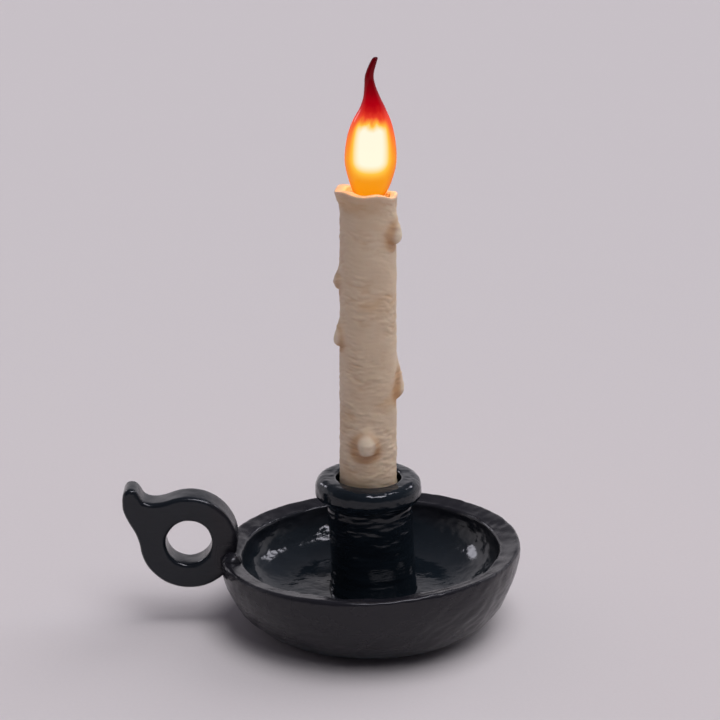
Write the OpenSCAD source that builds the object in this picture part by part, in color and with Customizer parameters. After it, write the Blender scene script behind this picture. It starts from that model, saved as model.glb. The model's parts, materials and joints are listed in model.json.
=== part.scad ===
// LED candle lamp in the form of an old chamberstick: a slate-coloured dish with a ring handle, a
// column with a thick collar, a hollow candle with a wavy lip and drips, and a flame-shaped bulb.
// A rechargeable cell, its board, a push button and a charging port sit under the dish.
// Millimetres. The candle's axis is Z, the table is z = 0 and the handle points to -X.

/* [Dish] */
// Outer diameter of the dish at its rim
dish_d = 206; // [196:1:230]
// Height of the rim's outer edge above the table
rim_z = 56; // [53:0.5:64]
// Width of the foot ring round the base cover
foot_w = 3.5; // [3:0.1:8]
// Width of the rim band
rim_w = 14.5; // [9:0.5:16]
// Fall of the rim band from its outer edge to its inner edge
rim_fall = 2.2; // [0.5:0.1:4]
// Rounding of the rim band's two edges
rim_round = 2.4; // [1:0.1:3]
// Diameter of the flat part of the dish's floor
flat_d = 104; // [80:1:120]
// Thickness of the dish's floor
floor_t = 4.5; // [4:0.5:7]
// Thickness of the dish's outer wall
wall_t = 5; // [4:0.5:6]
// Diameter of the hollow under the dish
hollow_d = 156; // [140:1:158]
// Fullness of the outer wall, smaller is fuller
wall_fullness = 0.75; // [0.6:0.05:1]
// Steepness of the outer wall towards the rim
wall_steepness = 1.2; // [1:0.05:1.4]

/* [Ring handle] */
// Thickness of the handle plate
handle_t = 21; // [15:0.5:24]
// Outer diameter of the ring
ring_d = 67; // [60:0.5:72]
// Diameter of the finger hole
finger_hole_d = 31.5; // [26:0.5:38]
// Distance of the ring's centre outside the rim
ring_out = 20.3; // [15:0.1:27]
// Height of the ring's centre
ring_z = 61.3; // [57:0.1:66]
// Rounding of the plate's edges
handle_round = 3; // [1.5:0.1:4]
// Reach of the thumb rest past the ring
thumb_reach = 11.3; // [9:0.1:16]
// Rise of the thumb rest's tip above the ring
thumb_rise = 5.5; // [3:0.1:10]
// Width of the thumb rest's tip
thumb_w = 13; // [11:0.5:15]

/* [Candle socket] */
// Diameter of the column
column_d = 58; // [56:0.5:62]
// Diameter of the column's flared foot
column_foot_d = 61; // [60:0.5:66]
// Height of the socket from the dish's floor to the collar's top
socket_h = 80.5; // [74:0.5:90]
// Outer diameter of the collar
collar_d = 72.6; // [70:0.2:80]
// Height of the collar
collar_h = 16.5; // [14:0.5:20]
// Rounding of the collar's outer edges
collar_round = 6.5; // [3:0.5:6.8]
// Diameter of the bore that takes the candle
socket_bore_d = 44; // [43:0.2:47]
// Depth of that bore
seat_depth = 45; // [40:0.5:50]
// Thickness of the floor that carries the candle
seat_t = 8; // [6:0.5:9]
// Diameter of the recess under that floor
recess_d = 32; // [28:0.5:34]

/* [Candle] */
// Diameter of the candle at its foot
candle_d = 39.2; // [38:0.2:42]
// Diameter of the candle below its lip
candle_top_d = 37.4; // [36.5:0.1:40]
// Mean length of the candle
candle_h = 247; // [220:1:270]
// Diameter of the candle's bore
candle_bore_d = 29.6; // [28.6:0.1:31]
// Rise and fall of the wavy lip
lip_wave = 1.8; // [0.5:0.1:3]
// How far the lip flares outwards
lip_flare = 2.5; // [0.5:0.1:3.5]
// Thickness of a wax drip
drip_t = 5; // [3:0.1:6]

/* [Flame bulb] */
// Largest diameter of the glass
bulb_d = 34.4; // [32:0.1:37]
// Length of the glass from its neck to its tip
glass_h = 97; // [85:1:110]
// Height of the widest place above the neck
belly_h = 31; // [26:0.5:36]
// Thickness of the glass
glass_t = 0.8; // [0.6:0.1:1.2]
// Diameter of the glass neck
neck_d = 16.6; // [16:0.1:17.4]
// Length of the straight part of the neck
neck_h = 3.2; // [3:0.1:5]
// How far the tip bends over
tip_bend = 4.6; // [0:0.1:7]
// Sway of the flame's upper part
flame_sway = 1.1; // [0:0.1:2]
// Diameter of the screw cap over its thread
cap_d = 13.8; // [13.6:0.05:13.9]
// Length of the screw cap's shell
cap_h = 17; // [15:0.5:18]
// Number of LED filaments
filament_count = 4; // [2:1:6]
// Length of a filament
filament_h = 30; // [24:0.5:32]
// Diameter of a filament
filament_d = 2; // [1.4:0.1:2.4]
// Diameter of the circle on which the filaments stand
filament_circle_d = 14; // [11:0.5:16]
// Depth of the glass neck below the candle's lip
bulb_drop = 7.5; // [5:0.5:9]

/* [Lamp holder] */
// Outer diameter of the holder's sleeve
holder_d = 25.8; // [25.4:0.1:27]
// Wall of the sleeve
holder_wall = 1.8; // [1.4:0.1:2]
// Depth of the holder's core
core_h = 30; // [28:0.5:32]
// Room for the leads below the core
lead_room = 12; // [11:0.5:16]
// Thickness of the sleeve's end
holder_end_t = 2; // [1.5:0.1:3]
// Diameter of the threaded lamp tube
tube_d = 10; // [9:0.1:11]
// Bore of the lamp tube
tube_bore_d = 7.6; // [7:0.1:7.8]
// Width of the tube nuts across flats
nut_af = 17; // [15:0.5:18]
// Height of a tube nut
nut_h = 4; // [3:0.5:4.5]
// Diameter of a tube washer
washer_d = 22; // [20:0.5:24]
// Thickness of a tube washer
washer_t = 1.6; // [1:0.1:2]
// Thickness of a candle spacer
spacer_t = 3; // [2:0.5:5]

/* [Base] */
// Height of the base cover above the table
foot_gap = 1.5; // [1:0.1:2.5]
// Depth of the pad's seat in the base cover
pad_sink = 0.7; // [0.4:0.1:1]
// Distance of the pad's edge from the cover's edge
pad_inset = 9.2; // [8:0.1:12]
// Width of the gap between pad and push button
pad_gap = 2.2; // [1:0.1:3]
// Diameter of the base cover
cover_d = 100.4; // [96:0.2:112]
// Thickness of the base cover
cover_t = 2.5; // [2.2:0.1:3]
// Thickness of the ledge over the cover's edge and of its screw lugs
ledge_t = 4.5; // [3.5:0.1:5]
// Width of that ledge
ledge_w = 3; // [2:0.1:4]
// Distance of the cover's screws from its edge
screw_inset = 4; // [3.6:0.1:5]
// Diameter of the hole for leads in the dish's floor
wire_hole_d = 24; // [18:0.5:26]
// Shank diameter of the cover's and the socket's screws
screw_d = 3; // [2.5:0.1:3.2]
// Length of the socket's screws in the socket
socket_screw_grip = 8; // [6:0.5:10]
// Shank diameter of the board's screws
board_screw_d = 2; // [1.6:0.1:2.4]

/* [Electrics] */
// Diameter of the rechargeable cell
cell_d = 14.2; // [13.8:0.1:15]
// Length of the cell
cell_h = 49; // [47:0.2:53]
// Room between the cell and the dish's floor
cell_room = 1; // [0.8:0.1:4]
// Distance of the cell from the axis
cell_reach = 11; // [10.5:0.1:11.5]
// Length of the control board
board_l = 48; // [44:0.5:52]
// Width of the control board
board_w = 28; // [26:0.5:30]
// Thickness of the boards
board_t = 1.6; // [1:0.1:2]
// Height of the posts under the control board
post_h = 8; // [7.5:0.1:9]
// Distance of the button from the axis
button_reach = 15; // [14:0.5:17]
// Diameter of the push button
button_d = 12; // [10:0.5:13]
// Travel of the push button
button_travel = 1.5; // [1:0.1:1.8]
// Side of the switch body
switch_w = 7.4; // [6.5:0.1:8]
// Height of the charging port's centre
port_z = 18; // [16:0.5:20]
// Width of the port's pocket in the dish
port_w = 20; // [18:0.5:22]
// Height of the port's pocket
port_h = 11; // [10:0.5:12]
// Depth of the boss behind that pocket
port_boss = 9; // [8.5:0.1:11]
// Diameter of a lead
lead_d = 1.6; // [1.2:0.1:1.8]

/* [Fits] */
// Gap of a bonded seat
bond_gap = 0.25; // [0.1:0.05:0.4]
// Gap of a sliding or drop-in fit
slip_gap = 0.2; // [0.1:0.05:0.4]
// Gap of the base cover in its rebate
cover_gap = 0.3; // [0.2:0.05:0.5]
// Gap between screw shank and hole
screw_gap = 0.1; // [0.05:0.05:0.2]

/* [Hidden] */
$fn = 48;

slate = "#2b3036";
cream = "#cdb795";
amber = "#e8761c";
brass = "#c9a24a";
steel = "#b4b8bc";
black = "#1c1c1e";

// Radii
dish_r = dish_d / 2;
rim_in_r = dish_r - rim_w;
ring_r = ring_d / 2;
column_foot_r = column_foot_d / 2;
candle_r = candle_d / 2;
candle_top_r = candle_top_d / 2;
candle_bore_r = candle_bore_d / 2;
bulb_r = bulb_d / 2;
neck_r = neck_d / 2;
cap_r = cap_d / 2;
tube_r = tube_d / 2;
screw_r = screw_d / 2;
lead_r = lead_d / 2;
cover_r = cover_d / 2;
opening_r = cover_r - ledge_w;
pad_r = cover_r - pad_inset;
foot_r = cover_r + cover_gap + foot_w;
ring_reach = dish_r + ring_out;
board_screw_r = board_screw_d / 2;

// Heights, from the table up
cover_top = foot_gap + cover_t;
ledge_top = cover_top + ledge_t;
pad_top = foot_gap + pad_sink;
cradle_t = 1.2;
cell_z = cover_top + cradle_t + screw_gap + cell_d / 2;
floor_z = cell_z + cell_d / 2 + cell_room + floor_t;
socket_top = floor_z + socket_h;
seat_z = socket_top - seat_depth;
seat_under = seat_z - seat_t;
lip_z = seat_z + candle_h;
cap_z = lip_z - bulb_drop;
holder_top = cap_z - 2.5;
core_z = holder_top - core_h;
holder_z = core_z - lead_room - holder_end_t;
tube_z = seat_under - washer_t - nut_h - 2;
tube_top = holder_z + holder_end_t + nut_h + 2;

// Rim band: height where the outer wall ends and where the hollow begins
wall_top = rim_z - rim_round;
hollow_top = rim_z - rim_fall - rim_round;

// Points on a circle arc, from one angle to another
function arc(c, r, a0, a1, n) = [for (i = [0:n]) c + r * [cos(a0 + (a1 - a0) * i / n), sin(a0 + (a1 - a0) * i / n)]];

// Outer wall of the dish as radius and height, from the foot at 0 to the rim at 90
function wall_pt(t) = [
    foot_r + (dish_r - foot_r) * pow(sin(t), wall_fullness),
    foot_gap + (wall_top - foot_gap) * (1 - pow(cos(t), wall_steepness))
];

// The same wall, moved inwards by its thickness
function wall_side(t) = wall_pt(min(t + 0.5, 90)) - wall_pt(t - 0.5);
function wall_in(t) = wall_pt(t) + wall_t / norm(wall_side(t)) * [-wall_side(t)[1], wall_side(t)[0]];

// Radius of the outer wall at a height
function wall_r(z) = foot_r + (dish_r - foot_r)
    * pow(sin(acos(pow(1 - (z - foot_gap) / (wall_top - foot_gap), 1 / wall_steepness))), wall_fullness);

// Inside of the dish as radius and height: a quarter of an ellipse, from the floor at 0 to the rim at 90
flat_r = flat_d / 2;
function hollow_pt(t) = [
    flat_r + (rim_in_r - flat_r) * sin(t),
    floor_z + (hollow_top - floor_z) * (1 - cos(t))
];

// Skin over a row of point rings, closed at its ends by caps or by joining the last ring to the first
module skin(rings, looped = false) {
    m = len(rings);
    n = len(rings[0]);
    sides = [for (i = [0:(looped ? m - 1 : m - 2)], j = [0:n - 1])
        let (k = (i + 1) % m, l = (j + 1) % n)
        each [[i * n + j, k * n + l, i * n + l], [i * n + j, k * n + j, k * n + l]]];
    caps = looped ? [] : [for (j = [1:n - 2])
        each [[0, j, j + 1], [(m - 1) * n, (m - 1) * n + j + 1, (m - 1) * n + j]]];
    polyhedron([for (r = rings) each r], concat(sides, caps), convexity = 6);
}

// Round tube standing on z
module pipe(r_out, r_in, z, h) {
    translate([0, 0, z])
        difference() {
            cylinder(r = r_out, h = h);
            translate([0, 0, -1]) cylinder(r = r_in, h = h + 2);
        }
}

// Hexagon nut on the lamp tube
module tube_nut(z) {
    translate([0, 0, z])
        difference() {
            cylinder(d = nut_af / cos(30), h = nut_h, $fn = 6);
            translate([0, 0, -1]) cylinder(r = tube_r + screw_gap, h = nut_h + 2);
        }
}

// Cross recess of a screw with this shank radius, cut upwards from a head that faces down at z = 0
module cross_recess(r) {
    for (a = [0, 90]) rotate(a) translate([-r, -r * 0.22, -1]) cube([2 * r, r * 0.44, r * 0.75 + 1]);
}

// Plate with round ends in the XZ plane, along Y
module slot_plate(w, h, t) {
    for (s = [-1, 1])
        translate([s * (w - h) / 2, 0, 0]) rotate([-90, 0, 0]) cylinder(d = h, h = t);
    translate([-(w - h) / 2, 0, -h / 2]) cube([w - h, t, h]);
}

// Lead swept along its route: a smooth curve through the points, six-sided
function lead_curve(p, i, u) = let (
        a = p[max(i - 1, 0)], b = p[i], c = p[i + 1], d = p[min(i + 2, len(p) - 1)]
    ) 0.5 * (2 * b + (c - a) * u + (2 * a - 5 * b + 4 * c - d) * u * u + (3 * b - a - 3 * c + d) * u * u * u);
function unit(v) = v / norm(v);
module lead(p, steps = 4) {
    line = concat([for (i = [0:len(p) - 2], s = [0:steps - 1]) lead_curve(p, i, s / steps)], [p[len(p) - 1]]);
    last = len(line) - 1;
    skin([for (i = [0:last]) let (
            t = unit(i == 0 ? p[1] - p[0] : i == last ? p[len(p) - 1] - p[len(p) - 2] : line[i + 1] - line[i - 1]),
            a = unit(cross([1, 0, 0], t)),
            b = cross(t, a)
        ) [for (j = [0:5]) line[i] + lead_r * (cos(60 * j) * a + sin(60 * j) * b)]]);
}

// Dish

module dish_outline() {
    polygon(concat(
        [[0, foot_gap]],
        [for (i = [0:24]) wall_pt(90 * i / 24)],
        arc([dish_r - rim_round, wall_top], rim_round, 15, 90, 5),
        arc([rim_in_r + rim_round, hollow_top], rim_round, 90, 165, 5),
        [for (i = [20:-1:0]) hollow_pt(90 * i / 20)],
        [[0, floor_z]]
    ));
}

module dish_hollow_outline() {
    intersection() {
        polygon(concat([[0, 0]], [for (i = [1:24]) wall_in(90 * i / 24)], [[0, rim_z]]));
        polygon(concat(
            [[0, 0], [0, floor_z - floor_t]],
            [for (i = [0:20]) hollow_pt(90 * i / 20) - [0, floor_t]],
            [[dish_r, hollow_top - floor_t], [dish_r, 0]]
        ));
        translate([0, ledge_top]) square([hollow_d / 2, rim_z]);
    }
}

// Ring of screw places in the base cover and the ledge's lugs
cover_screw_reach = cover_r - screw_inset;
lug_r = screw_r * 1.9 + 1.4;
module at_cover_screws() {
    for (a = [45:90:315]) rotate(a) translate([cover_screw_reach, 0, 0]) children();
}

socket_screw_reach = (column_d + recess_d) / 4;
module at_socket_screws() {
    for (a = [30, 150, 270]) rotate(a) translate([socket_screw_reach, 0, 0]) children();
}

// Charging port: pocket floor, boss behind it, and the bezel that sits in both
port_y = wall_r(port_z - port_h / 2) - 1;
port_back = port_y - port_boss;
boss_wall = 3;
bezel_flange_t = 2;
bezel_w = 13;
bezel_h = 7;
port_board_w = 14;
port_board_h = 8;

module dish_hollow() {
    boss_w = port_w + 2 * boss_wall;
    difference() {
        rotate_extrude($fn = 96) dish_hollow_outline();
        translate([-boss_w / 2, port_back, 0]) cube([boss_w, dish_r, port_z + port_h / 2 + boss_wall]);
    }
    translate([-port_board_w / 2 - 1, port_back - dish_r / 8, port_z - port_board_h / 2 - 1])
        cube([port_board_w + 2, dish_r / 8, port_board_h + 2]);
}

module cover_opening() {
    difference() {
        translate([0, 0, -1]) cylinder(r = opening_r, h = ledge_top + 2);
        at_cover_screws() cylinder(r = lug_r, h = ledge_top);
    }
}

module dish() {
    color(slate)
    difference() {
        rotate_extrude($fn = 96) dish_outline();
        dish_hollow();
        cover_opening();
        translate([0, 0, -1]) cylinder(r = cover_r + cover_gap, h = cover_top + 1);
        cylinder(d = wire_hole_d, h = floor_z + 1);
        translate([0, handle_t / 2 + bond_gap, ring_z])
            translate([-ring_reach, 0, 0])
                rotate([90, 0, 0]) cylinder(r = ring_r + bond_gap, h = handle_t + 2 * bond_gap);
        at_cover_screws() translate([0, 0, foot_gap]) cylinder(r = screw_r + screw_gap, h = ledge_top);
        at_socket_screws() translate([0, 0, ledge_top]) cylinder(r = screw_r + screw_gap, h = floor_z);
        translate([0, port_y, port_z]) slot_plate(port_w, port_h, dish_r);
        translate([-bezel_w / 2 - slip_gap, port_y - dish_r / 4, port_z - bezel_h / 2 - slip_gap])
            cube([bezel_w + 2 * slip_gap, dish_r / 2, bezel_h + 2 * slip_gap]);
    }
}

// Ring handle: the ring's outline runs on into the thumb rest, and each level of the plate is that
// outline moved inwards by the edge rounding

function bezier(p, u) = pow(1 - u, 3) * p[0] + 3 * u * pow(1 - u, 2) * p[1]
    + 3 * u * u * (1 - u) * p[2] + pow(u, 3) * p[3];
function on_ring(a) = ring_r * [cos(a), sin(a)];
tip_x = -ring_r - thumb_reach;
tip_z = ring_r + thumb_rise;
tip_mid = tip_x + thumb_w * 0.45;
thumb_root = 185;
thumb_end = 112;
valley_start = [tip_x + thumb_w, tip_z - 6.5];
thumb_curves = [
    [on_ring(thumb_root), on_ring(thumb_root) + [-1.1, 12.9], [tip_x, tip_z - 23], [tip_x, tip_z - 12]],
    [[tip_x, tip_z - 12], [tip_x, tip_z - 4], [tip_mid - 4, tip_z], [tip_mid, tip_z]],
    [[tip_mid, tip_z], [tip_mid + 4, tip_z], valley_start + [-1.7, 3.5], valley_start],
    [valley_start, valley_start + [2.2, -4.5], on_ring(thumb_end) - 9 * [0.927, 0.375], on_ring(thumb_end)]
];
// Outline, with the direction of the finger hole's edge that each of its points is joined to
ring_steps = 30;
thumb_steps = 5;
thumb_hole = [112, 155, 163, 172, 185];
handle_line = concat(
    [for (i = [0:ring_steps - 1]) let (a = -90 + (thumb_end + 90) * i / ring_steps) [on_ring(a), a]],
    [for (c = [0:3], s = [0:thumb_steps - 1]) let (u = s / thumb_steps)
        [bezier(thumb_curves[3 - c], 1 - u), thumb_hole[c] * (1 - u) + thumb_hole[c + 1] * u]],
    [for (i = [0:11]) let (a = thumb_root + (270 - thumb_root) * i / 12) [on_ring(a), a]]
);
handle_n = len(handle_line);
function handle_normal(i) = let (
        d = handle_line[(i + 1) % handle_n][0] - handle_line[(i + handle_n - 1) % handle_n][0]
    ) unit([d[1], -d[0]]);
function handle_pt(p, y) = [p[0] - ring_reach, y, p[1] + ring_z];

// Levels across the plate: inset and place of each
handle_levels = [for (s = [-1, 1], i = [0:4]) let (a = s < 0 ? 90 * i / 4 : 90 - 90 * i / 4)
    [handle_round * (1 - sin(a)), s * (handle_t / 2 - handle_round * (1 - cos(a)))]];
level_n = len(handle_levels);

module ring_handle() {
    color(slate)
        skin([for (i = [0:handle_n - 1]) concat(
            [for (l = handle_levels) handle_pt(handle_line[i][0] - l[0] * handle_normal(i), l[1])],
            [for (k = [level_n - 1:-1:0]) let (l = handle_levels[k], a = handle_line[i][1])
                handle_pt((finger_hole_d / 2 + l[0]) * [cos(a), sin(a)], l[1])]
        )], looped = true);
}

// Candle socket: column, collar and the floor that carries the candle

module candle_socket() {
    color(slate)
    difference() {
        rotate_extrude($fn = 96)
            polygon(concat(
                [[0, floor_z], [column_foot_r, floor_z]],
                [for (i = [0:6]) [
                    column_d / 2 + (column_foot_r - column_d / 2) * pow(1 - i / 6, 2), floor_z + 1 + 2 * i]],
                [[column_d / 2, socket_top - collar_h - 2]],
                arc([collar_d / 2 - collar_round, socket_top - collar_h + collar_round], collar_round, -90, 0, 8),
                arc([collar_d / 2 - collar_round, socket_top - collar_round], collar_round, 0, 90, 8),
                arc([socket_bore_d / 2 + 2, socket_top - 2], 2, 90, 180, 4),
                [[socket_bore_d / 2, seat_z], [0, seat_z]]
            ));
        translate([0, 0, floor_z - 1]) cylinder(d = recess_d, h = seat_under - floor_z + 1);
        translate([0, 0, floor_z]) cylinder(r = tube_r + slip_gap, h = socket_h);
        at_socket_screws()
            translate([0, 0, floor_z - 1]) cylinder(r = screw_r + screw_gap, h = socket_screw_grip + 2);
    }
}

// Candle: a tube whose outside carries the drips and whose lip rises, falls and flares

// Each drip: direction, height of its upper end and of its lower end above the foot, half width, and
// its thickness as a part of drip_t
drips = [
    [338, 240, 214.5, 7, 1.08],
    [183, 200, 179.5, 6, 0.84],
    [197, 166, 141, 6, 1],
    [1, 142, 104, 6.5, 1],
    [267, 92, 68, 7.6, 1.24],
    [60, 226, 190, 6.5, 1],
    [110, 150, 112, 6.5, 0.92]
];

// A drip starts from nothing, widens and thickens downwards and ends in a round knob
function turn_gap(a, b) = abs(((a - b) % 360 + 540) % 360 - 180);
function drip_part(d, a, h) = let (
        middle = d[2] + d[3],
        left = max(0, 1 - (h - middle) / (d[1] - middle)),
        swell = h > middle ? pow(left * left * (3 - 2 * left), 1.2)
            : sqrt(max(0, 1 - pow((middle - h) / d[3], 2))),
        reach = h > middle ? d[3] * (0.45 + 0.55 * left) : d[3],
        across = turn_gap(a, d[0]) * PI / 180 * candle_r / reach
    ) d[4] * swell * exp(-1.6 * across * across);
function drip_at(a, h) = drip_t * max([for (d = drips) drip_part(d, a, h)]);
function candle_side(h) = candle_r + (candle_top_r - candle_r) * h / candle_h;
function lip_height(a) = candle_h + lip_wave * (cos(a - 200) + 0.5 * cos(5 * a - 25));
function flare_at(a, h) = lip_flare * (1 + 0.5 * cos(a - 185)) * pow(max(0, 1 - (candle_h - h) / 17), 2);

candle_n = 40;
candle_levels = 60;
lip_r = (candle_top_r - candle_bore_r) / 2;

module candle_sleeve() {
    function ring_at(r, a, z) = [r * cos(a), r * sin(a), seat_z + z];
    turns = [for (j = [0:candle_n - 1]) 360 * j / candle_n];
    side = [for (i = [0:candle_levels]) [for (a = turns) let (h = (candle_h - lip_r) * i / candle_levels)
        ring_at(candle_side(h) + drip_at(a, h) + flare_at(a, h), a,
            h * (lip_height(a) - lip_r) / (candle_h - lip_r))]];
    lip = [for (b = [30:30:150]) [for (a = turns) let (
            swell = flare_at(a, candle_h - lip_r) * (1 + cos(b)) / 2,
            r = (candle_side(candle_h - lip_r) + candle_bore_r) / 2 + lip_r * cos(b) + swell)
        ring_at(r, a, lip_height(a) - lip_r + lip_r * sin(b))]];
    bore = [for (z = [1, 0]) [for (a = turns) ring_at(candle_bore_r, a, z * (lip_height(a) - lip_r))]];
    color(cream) skin(concat(side, lip, bore), looped = true);
}

// Flame bulb: belly, taper and bent tip of the glass

function flame_r(h) = h < belly_h
    ? neck_r + (bulb_r - neck_r) * sin(90 * max(0, h - neck_h) / (belly_h - neck_h))
    : let (v = (h - belly_h) / (glass_h - belly_h))
        bulb_r * (0.1 + 0.9 * pow(max(0, cos(90 * v)), 2.2)) - 0.5 * pow(v, 12);
function flame_x(h) = let (v = (h - belly_h) / (glass_h - belly_h))
    v < 0.25 ? 0 : flame_sway * sin(180 * (v - 0.25) / 0.42) + tip_bend * pow(v, 12);
function flame_ring(h, inset) = [for (j = [0:23])
    [flame_x(h) + (flame_r(h) - inset) * cos(15 * j), (flame_r(h) - inset) * sin(15 * j), cap_z + h]];
inner_top = belly_h + 0.7 * (glass_h - belly_h);

module bulb_glass() {
    color(amber, 0.8)
        skin(concat(
            [for (i = [14:-1:0]) flame_ring(inner_top * i / 14, glass_t)],
            [for (i = [0:7]) flame_ring(belly_h * i / 8, 0)],
            [for (i = [0:20]) flame_ring(belly_h + (glass_h - belly_h) * i / 20, 0)]
        ));
}

// Glass stem in the neck: its foot closes the neck, its top carries the filament frame
stem_top = cap_z + 15;
filament_z = stem_top + 4;
frame_w = 1;

module bulb_stem() {
    color("#dfe6e4", 0.7)
        rotate_extrude()
            polygon(concat(
                [[0, cap_z + 0.2], [neck_r - glass_t - slip_gap, cap_z + 0.2],
                    [neck_r - glass_t - slip_gap, cap_z + 1.2]],
                arc([neck_r - glass_t - slip_gap, cap_z + 6.2], 5, 270, 190, 6),
                [[2.2, stem_top - 1], [1.6, stem_top], [0, stem_top]]
            ));
}

module at_filaments() {
    for (i = [0:filament_count - 1])
        rotate(45 + 360 * i / filament_count) translate([filament_circle_d / 2, 0, 0]) children();
}

module led_filaments() {
    color("#f6e3a0") at_filaments() translate([0, 0, filament_z]) cylinder(d = filament_d, h = filament_h);
}

// Spider below the filaments and the ring that joins their upper ends
module filament_frame() {
    color(steel) {
        union() {
            translate([0, 0, stem_top]) cylinder(r = 1.2, h = filament_z - stem_top);
            for (i = [0:filament_count - 1])
                rotate(45 + 360 * i / filament_count)
                    translate([0, -frame_w / 2, filament_z - frame_w])
                        cube([filament_circle_d / 2 + frame_w / 2, frame_w, frame_w]);
        }
        pipe(filament_circle_d / 2 + frame_w / 2, filament_circle_d / 2 - frame_w / 2,
            filament_z + filament_h, frame_w);
    }
}

// Screw cap: a thin shell, wider where it grips the glass neck
cap_shell_t = 0.35;

module bulb_screw_cap() {
    skirt_r = neck_r + bond_gap + cap_shell_t;
    color(brass)
        rotate_extrude()
            polygon([
                [cap_r - cap_shell_t, cap_z - cap_h], [cap_r, cap_z - cap_h],
                [cap_r, cap_z - 2.2], [skirt_r, cap_z - 0.4], [skirt_r, cap_z + neck_h - 0.2],
                [skirt_r - cap_shell_t, cap_z + neck_h - 0.2], [skirt_r - cap_shell_t, cap_z],
                [cap_r - cap_shell_t, cap_z - 1.8]
            ]);
}

cap_end = cap_z - cap_h;
module cap_insulator() {
    color(black)
        rotate_extrude()
            polygon([
                [0, cap_end - 3], [3, cap_end - 3], [cap_r - cap_shell_t, cap_end],
                [cap_r - cap_shell_t - screw_gap, cap_end], [cap_r - cap_shell_t - screw_gap, cap_end + 2],
                [0, cap_end + 2]
            ]);
}

contact_h = 1.6;
module cap_contact() {
    color(steel)
        translate([0, 0, cap_end - 3 - contact_h])
            union() {
                cylinder(r = 2, h = 0.6);
                translate([0, 0, 0.6]) cylinder(r = 2.6, h = contact_h - 0.6);
            }
}

// Lamp holder

core_r = holder_d / 2 - holder_wall - slip_gap;
shell_t = 0.4;
shell_in_r = cap_r + bond_gap;
shell_out_r = shell_in_r + shell_t;
core_well_z = cap_end - 3 - contact_h - 3;
shell_z = cap_end - 1.5;

module holder_sleeve() {
    nut_room_r = nut_af / 2 / cos(30) + bond_gap;
    color(black)
        difference() {
            rotate_extrude()
                polygon([
                    [0, holder_z], [holder_d / 2 - 1, holder_z], [holder_d / 2, holder_z + 1],
                    [holder_d / 2, holder_top], [core_r + slip_gap, holder_top],
                    [core_r + slip_gap, core_z], [nut_room_r, core_z],
                    [nut_room_r, holder_z + holder_end_t], [0, holder_z + holder_end_t]
                ]);
            translate([0, 0, holder_z - 1]) cylinder(r = tube_r + screw_gap, h = holder_end_t + 2);
        }
}

terminal_reach = 7.2;
module holder_core() {
    color("#e6e0d2")
        difference() {
            translate([0, 0, core_z]) cylinder(r = core_r, h = core_h);
            translate([0, 0, shell_z]) cylinder(r = shell_out_r + screw_gap, h = core_h);
            translate([0, 0, core_well_z]) cylinder(r = shell_in_r - 0.3, h = core_h);
            translate([0, 0, holder_top - 3]) cylinder(r = neck_r + 1.4, h = 4);
            for (s = [-1, 1])
                translate([s * terminal_reach, 0, core_z - 1]) cylinder(r = 1.25 + screw_gap, h = 5);
        }
}

module holder_screw_shell() {
    color(brass) pipe(shell_out_r, shell_in_r, shell_z, holder_top - 3 - shell_z);
}

// Springy tongue under the bulb's contact
module centre_contact() {
    reach = shell_in_r - 0.8;
    rise = cap_end - 3 - contact_h - core_well_z - 0.5;
    color(brass)
        translate([0, 2, core_well_z])
            rotate([90, 0, 0])
                linear_extrude(4)
                    polygon([
                        [-reach, 0], [reach - 1, 0], [reach - 1, 0.5], [-reach + 1.6, 0.5], [1.8, rise],
                        [2.6, rise], [2.6, rise + 0.45], [-1.5, rise + 0.45], [-reach, 1.1]
                    ]);
}

module terminal_screws() {
    color(steel)
        for (s = [-1, 1])
            translate([s * terminal_reach, 0, core_z])
                difference() {
                    union() {
                        translate([0, 0, -1.4]) cylinder(r = 2, h = 1.4);
                        cylinder(r = 1.25, h = 3.5);
                    }
                    translate([-3, -0.3, -2]) cube([6, 0.6, 1.3]);
                }
}

module stem_tube() {
    color(steel) pipe(tube_r, tube_bore_d / 2, tube_z, tube_top - tube_z);
}

module tube_nuts() {
    color(brass) {
        tube_nut(seat_under - washer_t - nut_h);
        tube_nut(seat_z + washer_t);
        tube_nut(holder_z - nut_h);
        tube_nut(holder_z + holder_end_t);
    }
}

module tube_washers() {
    color(steel)
        for (z = [seat_under - washer_t, seat_z]) pipe(washer_d / 2, tube_r + screw_gap, z, washer_t);
}

// Discs that keep the candle in the middle of the tube, with gaps for air
module candle_spacers() {
    color("#d8d4c8")
        for (z = [seat_z + washer_t + nut_h, holder_z - nut_h - spacer_t])
            difference() {
                pipe(candle_bore_r - bond_gap - 0.05, tube_r + screw_gap, z, spacer_t);
                for (a = [0:60:300])
                    rotate(a) translate([(candle_bore_r + tube_r) / 2, 0, z - 1]) cylinder(r = 2.2, h = spacer_t + 2);
            }
}

// The two leads run from the board up through the tube to the holder's core
board_z = cover_top + post_h;
board_top = board_z + board_t;
lead_in_tube = tube_bore_d / 2 - lead_r - 0.9;
lead_pad_x = 5;
lead_pad_y = 6;
lead_in_core = 3.6;
module lamp_lead(s) {
    lead([
        [s * lead_pad_x, lead_pad_y, board_top], [s * lead_pad_x, lead_pad_y, board_top + 2 * lead_d],
        [s * (lead_pad_x + lead_in_tube) / 2, lead_pad_y * 0.4, floor_z - floor_t - lead_d],
        [s * lead_in_tube, 0, tube_z], [s * lead_in_tube, 0, (tube_z + tube_top) / 2],
        [s * lead_in_tube, 0, tube_top - nut_h], [s * lead_in_core, 0, core_z - 2 * lead_d],
        [s * lead_in_core, 0, core_z]
    ]);
}

module lamp_lead_live() {
    color("firebrick") lamp_lead(1);
}

module lamp_lead_return() {
    color(black) lamp_lead(-1);
}

// Base

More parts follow.
